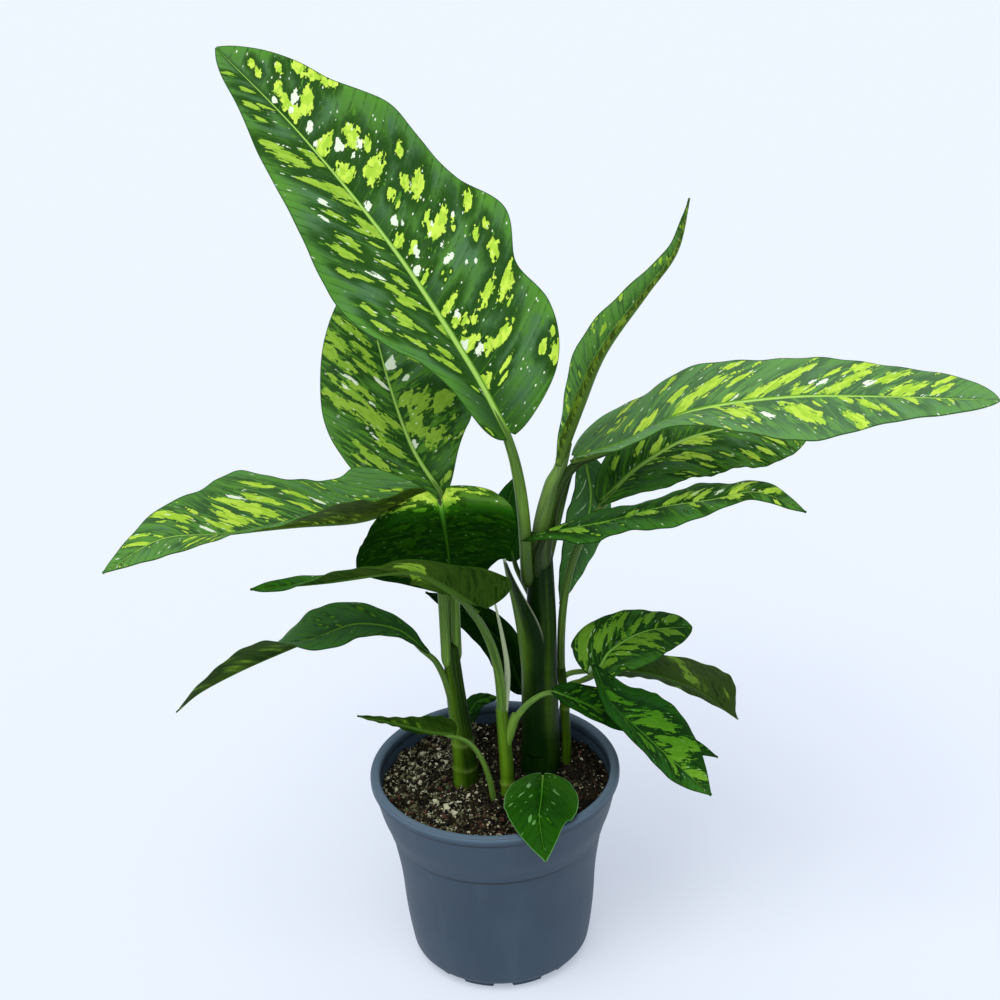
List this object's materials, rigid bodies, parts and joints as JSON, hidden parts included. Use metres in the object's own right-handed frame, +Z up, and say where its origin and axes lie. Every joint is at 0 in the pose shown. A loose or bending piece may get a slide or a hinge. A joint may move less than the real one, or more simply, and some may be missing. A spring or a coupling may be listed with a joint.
{
  "type": "potted dieffenbachia",
  "caption": "Leafy indoor plant with three upright canes and broad pointed leaves, growing in soil in a round plastic nursery pot.",
  "frame": {"origin": "centre of the pot's underside", "axes": "+Z up, -Y towards the front, +X to the right"},
  "size_m": [0.5566, 0.2477, 0.6277],
  "materials": {
    "pot_plastic": "satin",
    "potting_soil": "matte",
    "cane_skin": "satin",
    "leaf_skin": "satin"
  },
  "bodies": {
    "root": {"pot": "pot_plastic", "soil": "potting_soil", "cane_left": "cane_skin", "cane_middle": "cane_skin", "cane_main": "cane_skin", "shoot_right": "cane_skin", "leaf_top": "leaf_skin", "leaf_behind": "leaf_skin", "leaf_left_long": "leaf_skin", "leaf_front_dark": "leaf_skin", "leaf_arching_left": "leaf_skin", "leaf_low_left": "leaf_skin", "leaf_rim_left": "leaf_skin", "leaf_rim_front": "leaf_skin", "leaf_low_right_back": "leaf_skin", "leaf_low_right_front": "leaf_skin", "leaf_right_small": "leaf_skin", "leaf_right_olive": "leaf_skin", "leaf_right_long": "leaf_skin", "leaf_right_second": "leaf_skin", "leaf_right_narrow": "leaf_skin", "leaf_spear": "leaf_skin", "leaf_back_hanging": "leaf_skin", "leaf_back_dark": "leaf_skin", "leaf_back_small": "leaf_skin", "leaf_back_centre": "leaf_skin"}
  },
  "joints": []
}
